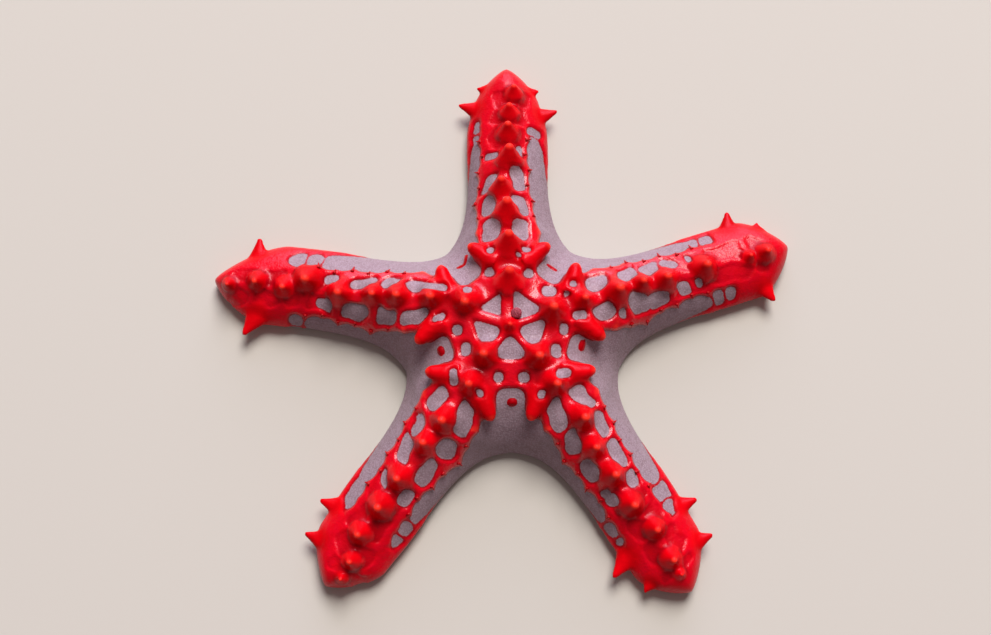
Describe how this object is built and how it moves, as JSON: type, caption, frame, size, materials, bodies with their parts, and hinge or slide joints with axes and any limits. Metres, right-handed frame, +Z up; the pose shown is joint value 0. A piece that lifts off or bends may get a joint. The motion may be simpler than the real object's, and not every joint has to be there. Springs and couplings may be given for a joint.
{
  "type": "sea star",
  "caption": "Life-size red-knobbed sea star lying flat: a domed disc with ridged, knobbed arms, furrows beneath and a mouth at the middle.",
  "frame": {"origin": "middle of the footprint, on the surface that the underside rests on", "axes": "+Z up, away from the surface; +Y along the arm named back; +X to the right as seen from above with +Y away"},
  "size_m": [0.227, 0.2096, 0.0345],
  "materials": {
    "skin": "wet glossy red knobs and ridges over soft grey-lilac skin",
    "jaws": "pale wet skin over jaw plates and spines",
    "plate": "finely grooved limy plate, damp"
  },
  "bodies": {
    "root": {"disc": "skin", "arm_back": "skin", "arm_right": "skin", "arm_front_right": "skin", "arm_front_left": "skin", "arm_left": "skin", "mouth": "jaws", "sieve_plate": "plate"}
  },
  "joints": []
}
